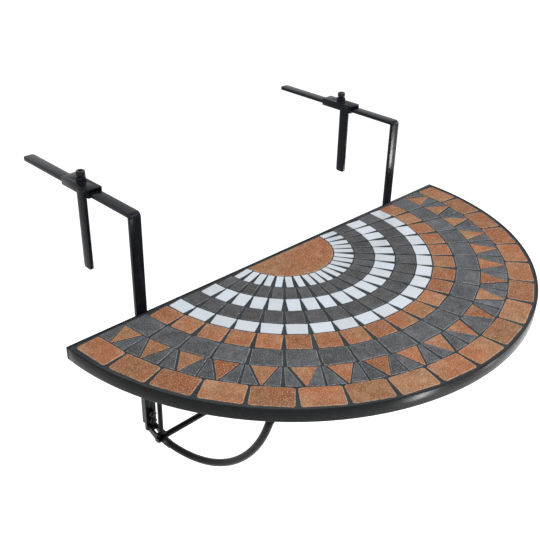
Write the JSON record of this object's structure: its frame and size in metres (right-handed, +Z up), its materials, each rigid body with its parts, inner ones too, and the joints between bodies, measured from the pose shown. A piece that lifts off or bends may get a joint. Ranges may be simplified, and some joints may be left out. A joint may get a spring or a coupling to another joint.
{
  "type": "balcony railing bar table",
  "caption": "Half-round mosaic table top on a folding steel frame that hangs from a balcony handrail by two bent flat bars with sliding screw clamps.",
  "frame": {"origin": "middle between the two hanging bars, on their undersides (the top of the handrail), at the back faces of the legs", "axes": "+X to the right along the railing seen from the table side, +Y outwards over the railing, +Z up"},
  "size_m": [0.76, 0.644, 0.3735],
  "materials": {
    "hangers": "gloss black lacquer",
    "front_plates": "gloss black lacquer",
    "bolts": "black zinc",
    "rods": "satin black lacquer",
    "lugs": "satin black lacquer",
    "pins": "black zinc",
    "bow": "satin black lacquer",
    "tray": "satin black lacquer",
    "braces": "satin black lacquer",
    "mortar": "dark blue-green cement",
    "white_tiles": "cool white glaze with faint cloud",
    "dark_tiles": "matt brownish dark grey",
    "clay_tiles": "matt mottled terracotta",
    "slate_tiles": "matt blue-grey slate",
    "pads": "matt",
    "sleeves": "satin black lacquer",
    "screws": "black zinc"
  },
  "bodies": {
    "hanger_frame": {"left_hanger": "hangers", "right_hanger": "hangers", "left_front_plate": "front_plates", "right_front_plate": "front_plates", "plate_bolts": "bolts", "plate_nuts": "bolts", "plate_washers": "bolts", "left_stay_rod": "rods", "right_stay_rod": "rods", "foot_cross_rod": "rods", "left_hinge_lug": "lugs", "right_hinge_lug": "lugs", "left_foot_lug": "lugs", "right_foot_lug": "lugs", "hinge_pins": "pins", "bow_pins": "pins"},
    "table_top": {"rim_hoop": "tray", "back_bar": "tray", "bottom_sheet": "tray", "left_brace": "braces", "right_brace": "braces", "left_hinge_leaf": "braces", "right_hinge_leaf": "braces", "mortar_bed": "mortar", "grout_joints": "mortar", "inner_white_ring": "white_tiles", "middle_white_ring": "white_tiles", "outer_white_ring": "white_tiles", "inner_dark_ring": "dark_tiles", "outer_dark_ring": "dark_tiles", "centre_half_disc": "clay_tiles", "clay_ring": "clay_tiles", "clay_triangles": "clay_tiles", "border_ring": "clay_tiles", "slate_ring": "slate_tiles", "slate_pieces": "slate_tiles", "leaf_rivets": "pins", "rest_pads": "pads"},
    "support_bow": {"left_bow_arm": "bow", "right_bow_arm": "bow", "bow_cross_run": "bow"},
    "left_slider": {"left_sleeve": "sleeves", "left_finger": "sleeves", "left_weld_nut": "sleeves"},
    "left_screw": {"left_clamp_screw": "screws", "left_screw_pad": "screws"},
    "right_slider": {"right_sleeve": "sleeves", "right_finger": "sleeves", "right_weld_nut": "sleeves"},
    "right_screw": {"right_clamp_screw": "screws", "right_screw_pad": "screws"}
  },
  "joints": [
    {"name": "top_fold", "type": "hinge", "parent": "hanger_frame", "child": "table_top", "pos_m": [0, -0.047, -0.166], "axis": [1, 0, 0], "range_deg": [0, 90]},
    {"name": "bow_swing", "type": "hinge", "parent": "hanger_frame", "child": "support_bow", "pos_m": [0, -0.032, -0.342], "axis": [1, 0, 0], "range_deg": [0, 126.5]},
    {"name": "left_clamp_slide", "type": "slide", "parent": "hanger_frame", "child": "left_slider", "axis": [0, 1, 0], "range_m": [-0.055, 0.1]},
    {"name": "left_screw_turn", "type": "hinge", "parent": "left_slider", "child": "left_screw", "pos_m": [-0.262, 0.116, 0.02], "axis": [0, 0, 1], "range_deg": [0, 720]},
    {"name": "right_clamp_slide", "type": "slide", "parent": "hanger_frame", "child": "right_slider", "axis": [0, 1, 0], "range_m": [-0.055, 0.1]},
    {"name": "right_screw_turn", "type": "hinge", "parent": "right_slider", "child": "right_screw", "pos_m": [0.262, 0.116, 0.02], "axis": [0, 0, 1], "range_deg": [0, 720]}
  ],
  "couplings": [
    {"joint": "bow_swing", "follows": "top_fold", "ratio": 1.4}
  ]
}
